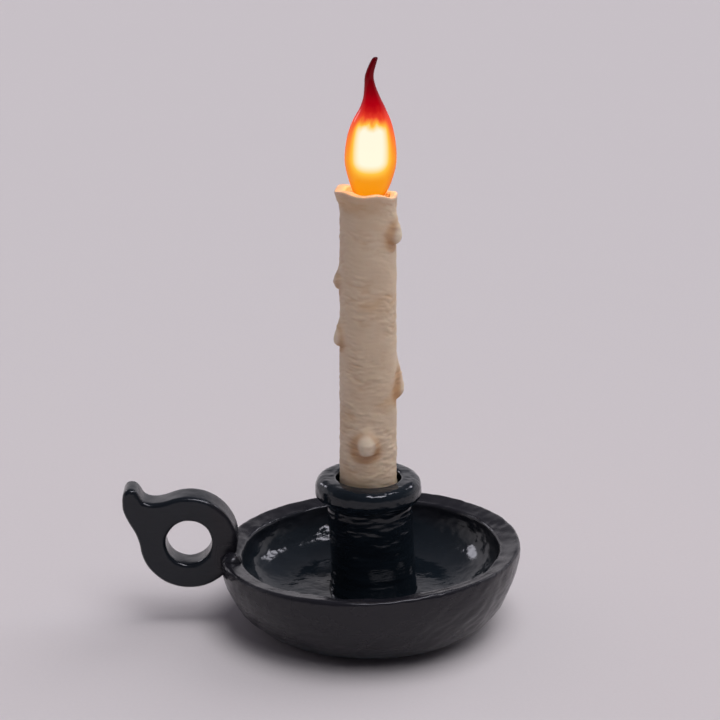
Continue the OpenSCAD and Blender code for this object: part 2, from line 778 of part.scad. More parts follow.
module socket_screws() {
    color(steel)
        at_socket_screws()
            translate([0, 0, floor_z - floor_t - screw_r * 1.3])
                difference() {
                    union() {
                        cylinder(r = screw_r * 1.9, h = screw_r * 1.3);
                        cylinder(r = screw_r, h = screw_r * 1.3 + floor_t + socket_screw_grip);
                    }
                    cross_recess(screw_r);
                }
}

board_y = 1.5;
post_inset = 4;
module at_posts() {
    for (x = [-1, 1], y = [board_y + post_inset, board_y + board_w - post_inset])
        translate([x * (board_l / 2 - post_inset), y, 0]) children();
}

module base_cover() {
    color(black)
        difference() {
            union() {
                translate([0, 0, foot_gap]) cylinder(r = cover_r, h = cover_t, $fn = 96);
                at_posts()
                    translate([0, 0, foot_gap + 1]) cylinder(r = board_screw_d * 1.3, h = cover_t + post_h - 1);
            }
            at_posts() translate([0, 0, cover_top + 1]) cylinder(r = board_screw_r + screw_gap, h = post_h);
            at_cover_screws() {
                translate([0, 0, 0]) cylinder(r = screw_r + screw_gap, h = cover_top + 1);
                translate([0, 0, foot_gap])
                    cylinder(r1 = screw_r * 1.9 + screw_gap, r2 = screw_r + screw_gap, h = cover_t - 0.7);
            }
            cylinder(r = pad_r + screw_gap, h = pad_top, $fn = 96);
            translate([0, button_reach, 0]) cylinder(d = button_d + 2 * slip_gap, h = cover_top + 1);
        }
}

module cover_screws() {
    color(steel)
        at_cover_screws()
            translate([0, 0, foot_gap])
                difference() {
                    union() {
                        cylinder(r1 = screw_r * 1.9, r2 = screw_r, h = cover_t - 0.7);
                        cylinder(r = screw_r, h = cover_t + ledge_t - 1);
                    }
                    cross_recess(screw_r);
                }
}

module base_pad() {
    color("#3a3a3c")
        difference() {
            rotate_extrude($fn = 96)
                polygon([[0, 0], [pad_r - 0.4, 0], [pad_r, 0.4], [pad_r, pad_top], [0, pad_top]]);
            translate([0, button_reach, -1]) cylinder(d = button_d + 2 * pad_gap, h = pad_top + 2);
        }
}

module control_board() {
    color("#1f5a3a")
        difference() {
            translate([-board_l / 2, board_y, board_z]) cube([board_l, board_w, board_t]);
            at_posts() translate([0, 0, board_z - 1]) cylinder(r = board_screw_r + screw_gap, h = board_t + 2);
        }
}

module board_screws() {
    color(steel)
        at_posts()
            translate([0, 0, board_top + board_screw_d * 0.65])
                rotate([180, 0, 0])
                    difference() {
                        union() {
                            cylinder(r = board_screw_d, h = board_screw_d * 0.65);
                            cylinder(r = board_screw_r, h = board_screw_d * 2.65 + board_t);
                        }
                        cross_recess(board_screw_r);
                    }
}

chip_l = 7;
chip_w = 6;
chip_h = 1.7;
module driver_chip() {
    color(black)
        translate([-board_l * 0.29, board_y + board_w / 2 - chip_w / 2, board_top])
            cube([chip_l, chip_w, chip_h]);
}

coil_d = 8.4;
coil_h = 4.2;
module driver_coil() {
    color("#50555c")
        translate([board_l / 4, board_y + board_w / 2, board_top]) cylinder(d = coil_d, h = coil_h);
}

// Push button, its switch and the plunger between them
flange_t = 1.2;
switch_gap = 0.5;
switch_z = cover_top + flange_t + button_travel + switch_gap;
plunger_w = 3;

module power_switch() {
    color("#2a2a2c")
        difference() {
            translate([-switch_w / 2, button_reach - switch_w / 2, switch_z])
                cube([switch_w, switch_w, board_z - switch_z]);
            translate([-plunger_w / 2 - slip_gap, button_reach - plunger_w / 2 - slip_gap, switch_z - 1])
                cube([plunger_w + 2 * slip_gap, plunger_w + 2 * slip_gap, 1 + 1.3 + button_travel + 0.5]);
        }
}

module switch_plunger() {
    color("#d9d9d6")
        translate([-plunger_w / 2, button_reach - plunger_w / 2, cover_top + flange_t])
            cube([plunger_w, plunger_w, button_travel + switch_gap + 1.3]);
}

module button_cap() {
    color("#3c3c40")
        translate([0, button_reach, 0])
            rotate_extrude()
                polygon([
                    [0, foot_gap + 0.3], [button_d / 2 - 1, foot_gap + 0.3], [button_d / 2, foot_gap + 1],
                    [button_d / 2, cover_top], [button_d / 2 + 1.5, cover_top],
                    [button_d / 2 + 1.5, cover_top + flange_t], [0, cover_top + flange_t]
                ]);
}

// Cell in its cradle on the base cover, with a leaf contact at one end and a plate at the other
cradle_w = 14;
leaf_room = 3.2;
contact_t = 0.5;
cradle_wall_top = cell_z + 3.5;
cell_end = cell_h / 2;

module battery_cell() {
    color("#3f7fb5")
        translate([-cell_end, -cell_reach, cell_z])
            rotate([0, 90, 0])
                rotate_extrude()
                    polygon([
                        [0, 0], [cell_d / 2 - 0.6, 0], [cell_d / 2, 0.6], [cell_d / 2, cell_h - 1.6],
                        [cell_d / 2 - 0.6, cell_h - 1], [3, cell_h - 1], [3, cell_h], [0, cell_h]
                    ]);
}

plate_x = cell_end + screw_gap;
leaf_x = -cell_end - screw_gap - leaf_room;
module cell_cradle() {
    color(black)
        translate([0, -cell_reach - cradle_w / 2, cover_top])
            union() {
                translate([leaf_x - contact_t - 1.5, 0, 0])
                    cube([plate_x - leaf_x + 2 * contact_t + 3, cradle_w, cradle_t]);
                for (x = [leaf_x - contact_t - 1.5, plate_x + contact_t])
                    translate([x, 0, 0]) cube([1.5, cradle_w, cradle_wall_top - cover_top]);
            }
}

// Contact strip seen from the side, 8 wide, with a tab over the cradle's end wall
module contact_strip(outline) {
    translate([0, -cell_reach + 4, 0]) rotate([90, 0, 0]) linear_extrude(8) polygon(outline);
}

module cell_leaf() {
    low = cover_top + cradle_t + 1;
    color(steel)
        contact_strip([
            [leaf_x - contact_t, low], [leaf_x, low], [leaf_x + leaf_room, cell_z - 1],
            [leaf_x + leaf_room, cell_z + 0.5], [leaf_x, cradle_wall_top - 1],
            [leaf_x, cradle_wall_top + contact_t], [leaf_x - contact_t - 1.5, cradle_wall_top + contact_t],
            [leaf_x - contact_t - 1.5, cradle_wall_top], [leaf_x - contact_t, cradle_wall_top],
            [leaf_x - contact_t, cradle_wall_top - 1.4], [leaf_x + leaf_room - contact_t, cell_z + 0.2],
            [leaf_x + leaf_room - contact_t, cell_z - 0.8]
        ]);
}

module cell_plate() {
    color(steel)
        contact_strip([
            [plate_x, cover_top + cradle_t + 1], [plate_x + contact_t, cover_top + cradle_t + 1],
            [plate_x + contact_t, cradle_wall_top], [plate_x + contact_t + 1.5, cradle_wall_top],
            [plate_x + contact_t + 1.5, cradle_wall_top + contact_t], [plate_x, cradle_wall_top + contact_t]
        ]);
}

module battery_lead(x, pad) {
    tab_z = cradle_wall_top + contact_t;
    lead([
        [x, -cell_reach, tab_z], [x, -cell_reach, tab_z + 2], [x * 0.85, -1, tab_z + 2.5],
        [pad, board_y + 3, board_top + 4], [pad, board_y + 3, board_top]
    ]);
}

module battery_lead_plus() {
    color("firebrick") battery_lead(plate_x + contact_t + 0.4, 15);
}

module battery_lead_minus() {
    color(black) battery_lead(leaf_x - contact_t - 0.4, -15);
}

// Charging port at the back: bezel in the pocket, metal shell, tongue and the small board behind
port_shell_w = 9;
port_shell_h = 3.3;
port_shell_l = bezel_flange_t + port_boss + 0.5;
port_shell_t = 0.35;
port_front = port_y + bezel_flange_t;

module port_bezel() {
    color(black)
        difference() {
            union() {
                translate([0, port_y, port_z])
                    slot_plate(port_w - 2 * slip_gap, port_h - 2 * slip_gap, bezel_flange_t);
                translate([-bezel_w / 2, port_back, port_z - bezel_h / 2])
                    cube([bezel_w, port_y - port_back + 0.5, bezel_h]);
            }
            translate([0, port_back - 1, port_z])
                slot_plate(port_shell_w + 2 * screw_gap, port_shell_h + 2 * screw_gap, dish_r / 2);
        }
}

module port_shell() {
    color(steel)
        translate([0, port_front - port_shell_l, port_z])
            difference() {
                slot_plate(port_shell_w, port_shell_h, port_shell_l);
                translate([0, 1.5, 0])
                    slot_plate(port_shell_w - 2 * port_shell_t, port_shell_h - 2 * port_shell_t, port_shell_l);
            }
}

tongue_w = 6.6;
tongue_t = 0.7;
module port_tongue() {
    color(black)
        translate([-tongue_w / 2, port_front - port_shell_l + 1.5, port_z - tongue_t / 2])
            cube([tongue_w, port_shell_l - 3, tongue_t]);
}

port_board_y = port_front - port_shell_l - board_t;
module port_board() {
    color("#1f5a3a")
        translate([-port_board_w / 2, port_board_y, port_z - port_board_h / 2])
            cube([port_board_w, board_t, port_board_h]);
}

module charge_lead(s) {
    lead([
        [s * 3, port_board_y, port_z], [s * 3, port_board_y - 5, port_z],
        [s * 5, (port_board_y + board_y + board_w) / 2, port_z + 1],
        [s * 7, board_y + board_w - 3, board_top + 4], [s * 7, board_y + board_w - 3, board_top]
    ]);
}

module charge_lead_plus() {
    color("firebrick") charge_lead(1);
}

module charge_lead_minus() {
    color(black) charge_lead(-1);
}

dish();
ring_handle();
candle_socket();
candle_sleeve();
bulb_glass();
bulb_stem();
led_filaments();
filament_frame();
bulb_screw_cap();
cap_insulator();
cap_contact();
holder_sleeve();
holder_core();
holder_screw_shell();
centre_contact();
terminal_screws();
stem_tube();
tube_nuts();
tube_washers();
candle_spacers();
lamp_lead_live();
lamp_lead_return();
socket_screws();
base_cover();
cover_screws();
base_pad();
control_board();
board_screws();
driver_chip();
driver_coil();
power_switch();
switch_plunger();
button_cap();
battery_cell();
cell_cradle();
cell_leaf();
cell_plate();
battery_lead_plus();
battery_lead_minus();
port_bezel();
port_shell();
port_tongue();
port_board();
charge_lead_plus();
charge_lead_minus();
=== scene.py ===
# %% [markdown]
# # An LED candle lamp
# The lamp looks like an old chamberstick: a dark glazed dish with a ring handle, a column with a thick
# collar, a cream candle with wax drips and a flame-shaped bulb. The hidden pieces keep the shape they
# have in the shared frame and only get a material. The five pieces in view are made again here,
# because a hand has tooled them: their walls ripple, lean and bulge, which plain turned shapes don't.

import json
import math

import bmesh
import bpy
from mathutils import Matrix, Vector, geometry, noise


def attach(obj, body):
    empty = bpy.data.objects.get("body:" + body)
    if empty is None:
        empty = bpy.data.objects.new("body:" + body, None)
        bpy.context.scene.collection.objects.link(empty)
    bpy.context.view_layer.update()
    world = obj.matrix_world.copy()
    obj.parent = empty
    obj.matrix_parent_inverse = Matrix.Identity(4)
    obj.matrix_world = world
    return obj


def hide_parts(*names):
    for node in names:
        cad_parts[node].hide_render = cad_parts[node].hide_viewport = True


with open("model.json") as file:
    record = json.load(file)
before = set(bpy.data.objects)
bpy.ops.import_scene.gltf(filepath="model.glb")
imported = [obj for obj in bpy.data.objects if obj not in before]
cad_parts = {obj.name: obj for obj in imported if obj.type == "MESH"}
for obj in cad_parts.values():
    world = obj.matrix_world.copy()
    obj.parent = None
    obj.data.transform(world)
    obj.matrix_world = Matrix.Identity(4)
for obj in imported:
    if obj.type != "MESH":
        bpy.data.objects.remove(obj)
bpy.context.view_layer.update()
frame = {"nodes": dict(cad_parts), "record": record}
print(len(frame["nodes"]), "pieces in the shared frame")

# %% [markdown]
# ## Helpers for materials
# Colours are written as the eye names them, in sRGB, and turned into the linear values the renderer
# mixes. One function adds a shader node with its settings and its links. A link names a node, whose
# first output it takes, or a node and an output. The others make what every material here is built of:
# noise, ranges, products, mixed colours, colour ramps and the surface itself.


# %% Colours and shader nodes
def linear(code):
    parts = [int(code[i : i + 2], 16) / 255 for i in (1, 3, 5)]
    return [c / 12.92 if c <= 0.04045 else ((c + 0.055) / 1.055) ** 2.4 for c in parts] + [1]


def add(tree, kind, values={}, links={}, **settings):
    node = tree.nodes.new("ShaderNode" + kind)
    for name, value in settings.items():
        setattr(node, name, value)
    for name, value in values.items():
        node.inputs[name].default_value = value
    for name, source in links.items():
        giver, output = source if isinstance(source, tuple) else (source, 0)
        tree.links.new(giver.outputs[output], node.inputs[name])
    return node


def new_tree(name):
    material = bpy.data.materials.new(name)
    material.use_nodes = True
    tree = material.node_tree
    tree.nodes.clear()
    return material, tree, (add(tree, "TexCoord"), "Object")


def speckle(tree, place, scale, detail):
    return add(tree, "TexNoise", {"Scale": scale, "Detail": detail}, {"Vector": place})


def span(tree, source, low, high, start=0, end=1, **settings):
    return add(tree, "MapRange", {1: low, 2: high, 3: start, 4: end}, {0: source}, **settings)


def times(tree, one, other):
    return add(tree, "Math", {}, {0: one, 1: other}, operation="MULTIPLY")


def mixed(tree, share, first, second, **settings):
    values, links = {}, {}
    for socket, item in {0: share, 6: first, 7: second}.items():
        if isinstance(item, str):
            values[socket] = linear(item)
        elif isinstance(item, float):
            values[socket] = item
        else:
            links[socket] = item
    return add(tree, "Mix", values, links, data_type="RGBA", **settings), 2


def ramp(tree, source, stops):
    node = add(tree, "ValToRGB", {}, {0: source})
    for position, _ in stops[1:-1]:
        node.color_ramp.elements.new(position)
    for element, (position, code) in zip(node.color_ramp.elements, stops):
        element.position, element.color = position, linear(code)
    return node


def surface(tree, values, links):
    shader = add(tree, "BsdfPrincipled", values, links)
    add(tree, "OutputMaterial", {}, {"Surface": shader})


print("pale grey in linear light:", [round(c, 3) for c in linear("#c4bfc3")])

# %% [markdown]
# ## Slate glaze
# The dish, the handle and the column are cast resin under a dark, glossy slate glaze. The eye sees a
# nearly black surface that lives from what it mirrors: grey sheen on the rim, small white glints on
# the tool marks. Use has rubbed the rim and the wall to satin, and the handle a little, and there the
# base colour is also painted a lighter, warmer grey, a painted reflection of the pale floor. In the hollow
# and on the column the glaze has kept its full, slightly uneven gloss and a trace of blue.

# %% Slate glaze
slate_glaze, tree, place = new_tree("cast resin, glossy slate glaze")
# On object coordinates in metres a noise of scale S has features of about 1000 / S millimetres.
cloud = speckle(tree, place, 40, 4)
fleck = speckle(tree, place, 700, 2)
slate = mixed(tree, cloud, "#0f141a", "#1c242c")
gloss = span(tree, cloud, 0.3, 0.7, 0.06, 0.14)
# The wear and the painted sheen set in at the hollow's edge and mostly end beyond the dish, where the
# handle is.
WEAR_AND_SHEEN_FROM, WEAR_AND_SHEEN_TO, WORN_ROUGHNESS = (0.084, 0.091), (0.104, 0.112), 0.16
level = add(tree, "VectorMath", {1: (1, 1, 0)}, {0: place}, operation="MULTIPLY")
reach = add(tree, "VectorMath", {}, {0: level}, operation="LENGTH"), "Value"
wear_and_painted_sheen = times(tree, span(tree, reach, *WEAR_AND_SHEEN_FROM), span(tree, reach, *WEAR_AND_SHEEN_TO, 1, 0.3))
dull = add(tree, "Math", {1: WORN_ROUGHNESS}, {0: wear_and_painted_sheen, 2: gloss}, operation="MULTIPLY_ADD")
# Where this mask is high the base colour turns a lighter, warmer grey: a painted reflection of the pale
# floor.
tone = mixed(tree, wear_and_painted_sheen, slate, "#1e1d23")
# The strokes are about 3 mm high and 10 mm long, and slant as the hand held the tool.
STROKE_TILT, STROKES_PER_METRE = 0.42, (105, 105, 330)
slanted = add(
    tree, "Mapping", {"Rotation": (0, STROKE_TILT, 0), "Scale": STROKES_PER_METRE}, {"Vector": place}
)
stroke = speckle(tree, slanted, 1, 3)
relief = add(tree, "Math", {1: 0.1}, {0: fleck, 2: stroke}, operation="MULTIPLY_ADD")
bump = add(tree, "Bump", {"Strength": 0.55, "Distance": 0.0005}, {"Height": relief})
surface(tree, {"IOR": 1.42}, {"Base Color": tone, "Roughness": dull, "Normal": bump})
print("made", slate_glaze.name)

# %% [markdown]
# ## Turned shapes
# Dish, column, candle and bulb are all round, so each starts as a line of (radius, height) points that
# is spun once round the candle's axis. Lengths are in millimetres, as on a drawing, and a piece is
# scaled to metres when it is done. Long straight stretches are cut into short steps first, so that the
# surface has points enough for the tool marks. A finished piece rides with its body, takes its material
# and hides the plain pieces it stands for.

# %% Spin a line, and hand a piece to the frame
MM = 0.001
MERGE_GAP, SHARP_ANGLE = 0.0005, math.radians(50)


def stepped(points, gap):
    line = [Vector(points[0])]
    for a, b in zip(points, points[1:]):
        count = max(1, round((Vector(b) - Vector(a)).length / gap))
        line += [Vector(a).lerp(Vector(b), i / count) for i in range(1, count + 1)]
    return line


def arc(x, z, r, start, end, count):
    turns = [math.radians(start + (end - start) * i / count) for i in range(count + 1)]
    return [(x + r * math.cos(a), z + r * math.sin(a)) for a in turns]


def turned(line, steps):
    bm = bmesh.new()
    verts = [bm.verts.new((r, 0, z)) for r, z in line]
    edges = [bm.edges.new(pair) for pair in zip(verts, verts[1:] + verts[:1])]
    circle = {"cent": (0, 0, 0), "axis": (0, 0, 1), "angle": math.tau}
    bmesh.ops.spin(bm, geom=verts + edges, steps=steps, use_merge=True, **circle)
    bmesh.ops.remove_doubles(bm, verts=bm.verts, dist=MERGE_GAP)
    bmesh.ops.recalc_face_normals(bm, faces=bm.faces)
    bm.normal_update()
    return bm


def to_object(name, bm):
    bmesh.ops.scale(bm, vec=(MM, MM, MM), verts=bm.verts)
    bmesh.ops.recalc_face_normals(bm, faces=bm.faces)
    mesh = bpy.data.meshes.new(name)
    bm.to_mesh(mesh)
    bm.free()
    piece = bpy.data.objects.new(name, mesh)
    bpy.context.collection.objects.link(piece)
    return piece


def hand_over(piece, material, body, slot, *replaced):
    piece.data.shade_smooth()
    piece.data.set_sharp_from_angle(angle=SHARP_ANGLE)
    piece.data.materials.clear()
    piece.data.materials.append(material)
    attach(piece, body)
    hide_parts(*replaced)
    print(piece.name, len(piece.data.polygons), "faces", [round(d / MM, 1) for d in piece.dimensions], "mm")


# %% [markdown]
# Tool marks are moves of the surface along its own direction. A smooth three-dimensional noise gives
# them, stretched to the length, width and height of one mark. A list of marks has a row for each kind:
# its depth, its length, width and height in millimetres, and a seed that sets it apart from the others.
# Marks fade in and out by a soft step.


# %% Marks and soft steps
def soft_step(low, high, value):
    u = min(1, max(0, (value - low) / (high - low)))
    return u * u * (3 - 2 * u)


def mark(point, length, width, height, seed):
    return noise.noise(Vector((point.x / length + seed, point.y / width, point.z / height)))


def marks(point, rows):
    total = 0
    for depth, *shape in rows:
        total += depth * mark(point, *shape)
    return total


print("one mark, cut through:", [round(mark(Vector((x, 0, 0)), 9, 9, 9, 1), 2) for x in (0, 3, 6, 9)])

# %% [markdown]
# ## The dish
# On the real lamp the dish is one casting: a foot ring, a wall that swells out to the rim, a flat rim
# band that falls inwards, and a deep hollow with a flat floor round the column. It is open underneath
# for the cell and its board. The wall's curve is made of powers of a sine and a cosine: powers that
# differ from one make it full near the foot. The hollow is a plain quarter of an ellipse, steep at the
# rim.

# %% Section of the dish
DISH_R, FOOT_R, WALL_TOP = 103, 54, 53.6
HOLLOW_R, FLOOR_R, HOLLOW_TOP, FLOOR_Z = 88.5, 52, 51.4, 25
TABLE_GAP, OUTER_ROUND, INNER_ROUND = 1.5, 2.4, 2.6
SINE_POWER, COSINE_POWER = 0.75, 1.2
TUBE_HOLE_R, ROOF_Z = 12, 20.5


def wall_point(t):
    return (
        FOOT_R + (DISH_R - FOOT_R) * math.sin(t) ** SINE_POWER,
        TABLE_GAP + (WALL_TOP - TABLE_GAP) * (1 - max(0, math.cos(t)) ** COSINE_POWER),
    )


def hollow_point(t):
    return (
        FLOOR_R + (HOLLOW_R - FLOOR_R) * math.sin(t),
        FLOOR_Z + (HOLLOW_TOP - FLOOR_Z) * (1 - math.cos(t)),
    )


quarter = [math.pi / 2 * i / 40 for i in range(41)]
outside = [wall_point(t) for t in quarter]
outside += arc(DISH_R - OUTER_ROUND, WALL_TOP, OUTER_ROUND, 15, 90, 6)
outside += arc(HOLLOW_R + INNER_ROUND, HOLLOW_TOP - 0.2, INNER_ROUND, 90, 170, 8)
outside += [hollow_point(t) for t in reversed(quarter[:39])]
outside += [(TUBE_HOLE_R, FLOOR_Z)]
underside = [(TUBE_HOLE_R, ROOF_Z), (52, ROOF_Z), (60, 21.1), (70, 23.9), (78, 28.4), (78, 13), (74, 8.5)]
underside += [(47.2, 8.5), (47.2, 4), (50.5, 4), (50.5, TABLE_GAP)]
dish_line = stepped(outside, 1.3) + [Vector(p) for p in underside]
print(len(dish_line), "points round the dish's section")

# %% [markdown]
# The maker's hand shows in three ways. The rim isn't level: it hangs a little on the handle's side and
# stands up a little in front. The wall swells and sinks slowly, over the width of a palm. And the tool
# has left shallow slanting marks outside and short broken ones inside, fainter on the hollow's floor.
# All this fades to nothing towards the foot ring, where the base cover has to fit, and the underside
# stays as it was turned.

# %% Dish with its tool marks
SLANT = Matrix.Rotation(math.radians(24), 3, "Y")
SLOW_MARKS = [(1.3, 44, 44, 34, 3)]
OUTER_MARKS = [(0.36, 22, 16, 9, 11), (0.3, 11, 9, 4.5, 17), (0.22, 7, 6, 2.8, 19)]
INNER_MARKS = [(0.3, 15, 15, 10, 23), (0.12, 5, 5, 4, 29), (0.09, 2.4, 2.4, 2, 31)]
EDGE_MARKS = [(0.9, 16, 16, 12, 37), (0.3, 6, 6, 5, 41)]
FLOOR_CALM = 0.55
RIM_SLOPE, FRONT_LIFT, RIM_SHIFT = 0.04, 2.2, 1.2


def dish_marks(co):
    radius = math.hypot(co.x, co.y)
    within = 1 - soft_step(HOLLOW_R - 2, HOLLOW_R + 3, radius)
    near_edge = soft_step(9, 3, abs(radius - HOLLOW_R))
    outer = marks(SLANT @ co, OUTER_MARKS)
    inner = marks(co, INNER_MARKS) * (1 - FLOOR_CALM * soft_step(36, 27, co.z))
    broad = marks(co, SLOW_MARKS) + near_edge * marks(co, EDGE_MARKS)
    return broad + inner * within + outer * (1 - within)


dish_bm = turned(dish_line, 400)
low_points = {(round(r, 2), round(z, 2)) for r, z in underside}
for vert in dish_bm.verts:
    co = vert.co.copy()
    radius = math.hypot(co.x, co.y)
    raised = soft_step(8, 46, co.z)
    if (round(radius, 2), round(co.z, 2)) not in low_points:
        vert.co += vert.normal * dish_marks(co) * soft_step(2, 12, co.z)
    vert.co.z += (RIM_SLOPE * co.x + FRONT_LIFT * soft_step(20, 100, -co.y)) * raised
    vert.co.x += RIM_SHIFT * raised * soft_step(30, 60, radius)
dish = to_object("glazed_dish", dish_bm)
print(len(dish.data.vertices), "points in the dish")

# %% [markdown]
# At the back an oblong recess takes the charging port, with a square way through behind it. Both are
# cut after the marks are on, so their edges run through them as milled edges do. Each cutter is a flat
# outline drawn out along the cut, and is thrown away afterwards.


# %% Cut the charging recess
def draw_out(bm, depth):
    drawn = bmesh.ops.extrude_face_region(bm, geom=bm.faces[:])["geom"]
    moved = [v for v in drawn if isinstance(v, bmesh.types.BMVert)]
    bmesh.ops.translate(bm, vec=(0, depth, 0), verts=moved)


def carve(piece, outline, start, end):
    bm = bmesh.new()
    bm.faces.new([bm.verts.new((x, start, z)) for x, z in outline])
    draw_out(bm, end - start)
    cutter = to_object("cutter", bm)
    cut = piece.modifiers.new("cut", "BOOLEAN")
    cut.object, cut.operation, cut.solver = cutter, "DIFFERENCE", "EXACT"
    done = piece.evaluated_get(bpy.context.evaluated_depsgraph_get())
    piece.data = bpy.data.meshes.new_from_object(done)
    piece.modifiers.clear()
    bpy.data.objects.remove(cutter)


PORT_Y, PORT_Z, PORT_HALF, PORT_R = 85.2, 18, 4.5, 5.5
WAY_Y, WAY_X, WAY_Z = 70, 6.7, 3.7
oblong = arc(PORT_HALF, PORT_Z, PORT_R, -90, 90, 20) + arc(-PORT_HALF, PORT_Z, PORT_R, 90, 270, 20)
square = [(WAY_X * i, PORT_Z + WAY_Z * j) for i, j in [(-1, -1), (1, -1), (1, 1), (-1, 1)]]
carve(dish, oblong, PORT_Y, DISH_R)
carve(dish, square, WAY_Y, PORT_Y + 1)
hand_over(dish, slate_glaze, "lamp", "slate_resin", "dish")

# %% [markdown]
# ## The ring handle
# The handle is a thick flat plate: a ring for the finger whose outline runs on, high at the back, into
# an upturned rest for the thumb. The outline is a long arc closed by four curves, each drawn by two end
# points and two pulls. A second loop is the finger hole. Bridged, drawn out to the plate's thickness
# and rounded along its edges, they give the plate.

# %% Handle outline
RING_R, HOLE_R, RING_X, RING_Z, PLATE_T = 33.5, 15.7, -123.3, 61.3, 21
ARC_STEPS, CURVE_STEPS = 96, 12
# The round outline leaves the ring at the first of these directions and is back on it at the last. The
# hole is cut into the same shares, so that the two loops have equal numbers of points.
LEAVES, *BETWEEN, RETURNS = 112, 150, 160, 172, 185


def on_ring(degrees, r=RING_R):
    return Vector((r * math.cos(math.radians(degrees)), r * math.sin(math.radians(degrees))))


valley, tip, heel = Vector((-31.8, 32.5)), Vector((-38.95, 39)), Vector((-44.8, 27))
curves = [
    [on_ring(LEAVES), on_ring(LEAVES) - Vector((8.34, 3.38)), valley + Vector((2.2, -4.5)), valley],
    [valley, valley + Vector((-1.7, 3.5)), tip + Vector((4, 0)), tip],
    [tip, tip - Vector((4, 0)), heel + Vector((0, 8)), heel],
    [heel, heel - Vector((0, 11)), on_ring(RETURNS) + Vector((-1.1, 12.9)), on_ring(RETURNS)],
]
rim_turns = [RETURNS + (360 + LEAVES - RETURNS) * i / ARC_STEPS for i in range(ARC_STEPS)]
outline = [on_ring(a) for a in rim_turns]
hole = [on_ring(a, HOLE_R) for a in rim_turns]
for curve, start, end in zip(curves, (LEAVES, *BETWEEN), (*BETWEEN, RETURNS)):
    outline += geometry.interpolate_bezier(*curve, CURVE_STEPS + 1)[:-1]
    hole += [on_ring(start + (end - start) * i / CURVE_STEPS, HOLE_R) for i in range(CURVE_STEPS)]
print(len(outline), "points round the handle,", len(hole), "round its hole")

# %% Handle plate
EDGE_ROUND, LONG_EDGE = 3, 6
HANDLE_MARKS = [(0.7, 28, 28, 28, 41), (0.3, 11, 11, 9, 43), (0.08, 4, 4, 4, 47)]

handle_bm = bmesh.new()
loops = []
for loop in (outline, hole):
    verts = [handle_bm.verts.new((x + RING_X, -PLATE_T / 2, z + RING_Z)) for x, z in loop]
    loops += [handle_bm.edges.new(pair) for pair in zip(verts, verts[1:] + verts[:1])]
bmesh.ops.bridge_loops(handle_bm, edges=loops)
draw_out(handle_bm, PLATE_T)
bmesh.ops.recalc_face_normals(handle_bm, faces=handle_bm.faces)
rims = [e for e in handle_bm.edges if e.calc_face_angle(0) > 1]
bmesh.ops.bevel(
    handle_bm, geom=rims, offset=EDGE_ROUND, segments=6, profile=0.5, affect="EDGES", material=-1
)
# The flat faces and the walls are cut finer, so that they can take the marks.
flat = [e for e in handle_bm.edges if min(abs(f.normal.y) for f in e.link_faces) > 0.99]
spokes = [e for e in flat if e.calc_length() > LONG_EDGE]
bmesh.ops.subdivide_edges(handle_bm, edges=spokes, cuts=8)
walls = [e for e in handle_bm.edges if abs(e.verts[0].co.y - e.verts[1].co.y) > LONG_EDGE]
bmesh.ops.subdivide_edges(handle_bm, edges=walls, cuts=6)
handle_bm.normal_update()
for vert in handle_bm.verts:
    vert.co += vert.normal * marks(vert.co.copy(), HANDLE_MARKS)
print(len(handle_bm.faces), "faces in the plate")

# %% [markdown]
# Where the plate stands on the rim, glaze has run together into a thick bead in front of it. The bead
# is a ball pressed out of round by the same marks, and it sits half in the plate and half in the rim.

# %% Bead of glaze
BEAD_AT, BEAD_SIZE = Vector((-93.5, -15.5, 48.8)), Vector((7, 8, 8))
for vert in bmesh.ops.create_icosphere(handle_bm, subdivisions=4, radius=1)["verts"]:
    lump = 1 + 0.12 * mark(vert.co, 0.9, 0.9, 0.9, 49)
    vert.co = BEAD_AT + lump * (BEAD_SIZE * vert.co)
handle = to_object("ring_handle_plate", handle_bm)
hand_over(handle, slate_glaze, "lamp", "slate_resin", "ring_handle")

# %% [markdown]
# ## The column
# The socket that holds the candle is a second casting: a column on a slightly flared foot, a thick
# round collar, and a bore the candle drops into. Its tool marks are the strongest of all, short
# sideways gouges one above the other. It leans a little to the left, and its collar stands a little
# high.

# %% Column and collar
COLUMN_R, COLUMN_FOOT, FOOT_FLARE, FLARE_Z, SEAT_Z = 29, 22.5, 1.5, 26, 60.5
COLLAR_MID_R, COLLAR_ROUND = 29.8, 6.5
COLLAR_MARKS = [(0.7, 22, 22, 12, 57), (0.3, 8, 8, 4, 59), (0.14, 3, 3, 2, 60)]
LEAN, COLLAR_LIFT = 3.4, 1.8

socket_line = [(30.8, COLUMN_FOOT)]
socket_line += [(COLUMN_R + FOOT_FLARE * (1 - i / 6) ** 2, FLARE_Z + 2 * i) for i in range(7)]
socket_line += [(COLUMN_R, 86.5)] + arc(COLLAR_MID_R, 95.5, COLLAR_ROUND, -80, 0, 10)
socket_line += arc(COLLAR_MID_R, 99, COLLAR_ROUND, 0, 90, 10)
socket_line += arc(24, 103.5, 2, 90, 180, 5) + [(22, SEAT_Z)]
socket_low = [(5.2, SEAT_Z), (5.2, 52.5), (16, 52.5), (16, COLUMN_FOOT)]
socket_bm = turned(stepped(socket_line, 0.8) + [Vector(p) for p in socket_low], 240)
for vert in socket_bm.verts:
    co = vert.co.copy()
    radius = math.hypot(co.x, co.y)
    fine_depth = 0.18 + 0.09 * soft_step(38, 78, co.z)
    gouge = marks(co, [(0.36, 20, 20, 5, 51), (fine_depth, 9, 9, 2.2, 53)])
    smooth = marks(co, COLLAR_MARKS)
    share = soft_step(84, 90, co.z)
    vert.co += vert.normal * (gouge * (1 - share) + smooth * share) * soft_step(22.5, 25, radius)
    vert.co.x += LEAN * (1 - soft_step(30, 106, co.z))
    vert.co.z += COLLAR_LIFT * soft_step(62, 88, co.z)
socket = to_object("candle_column", socket_bm)
hand_over(socket, slate_glaze, "lamp", "slate_resin", "candle_socket")
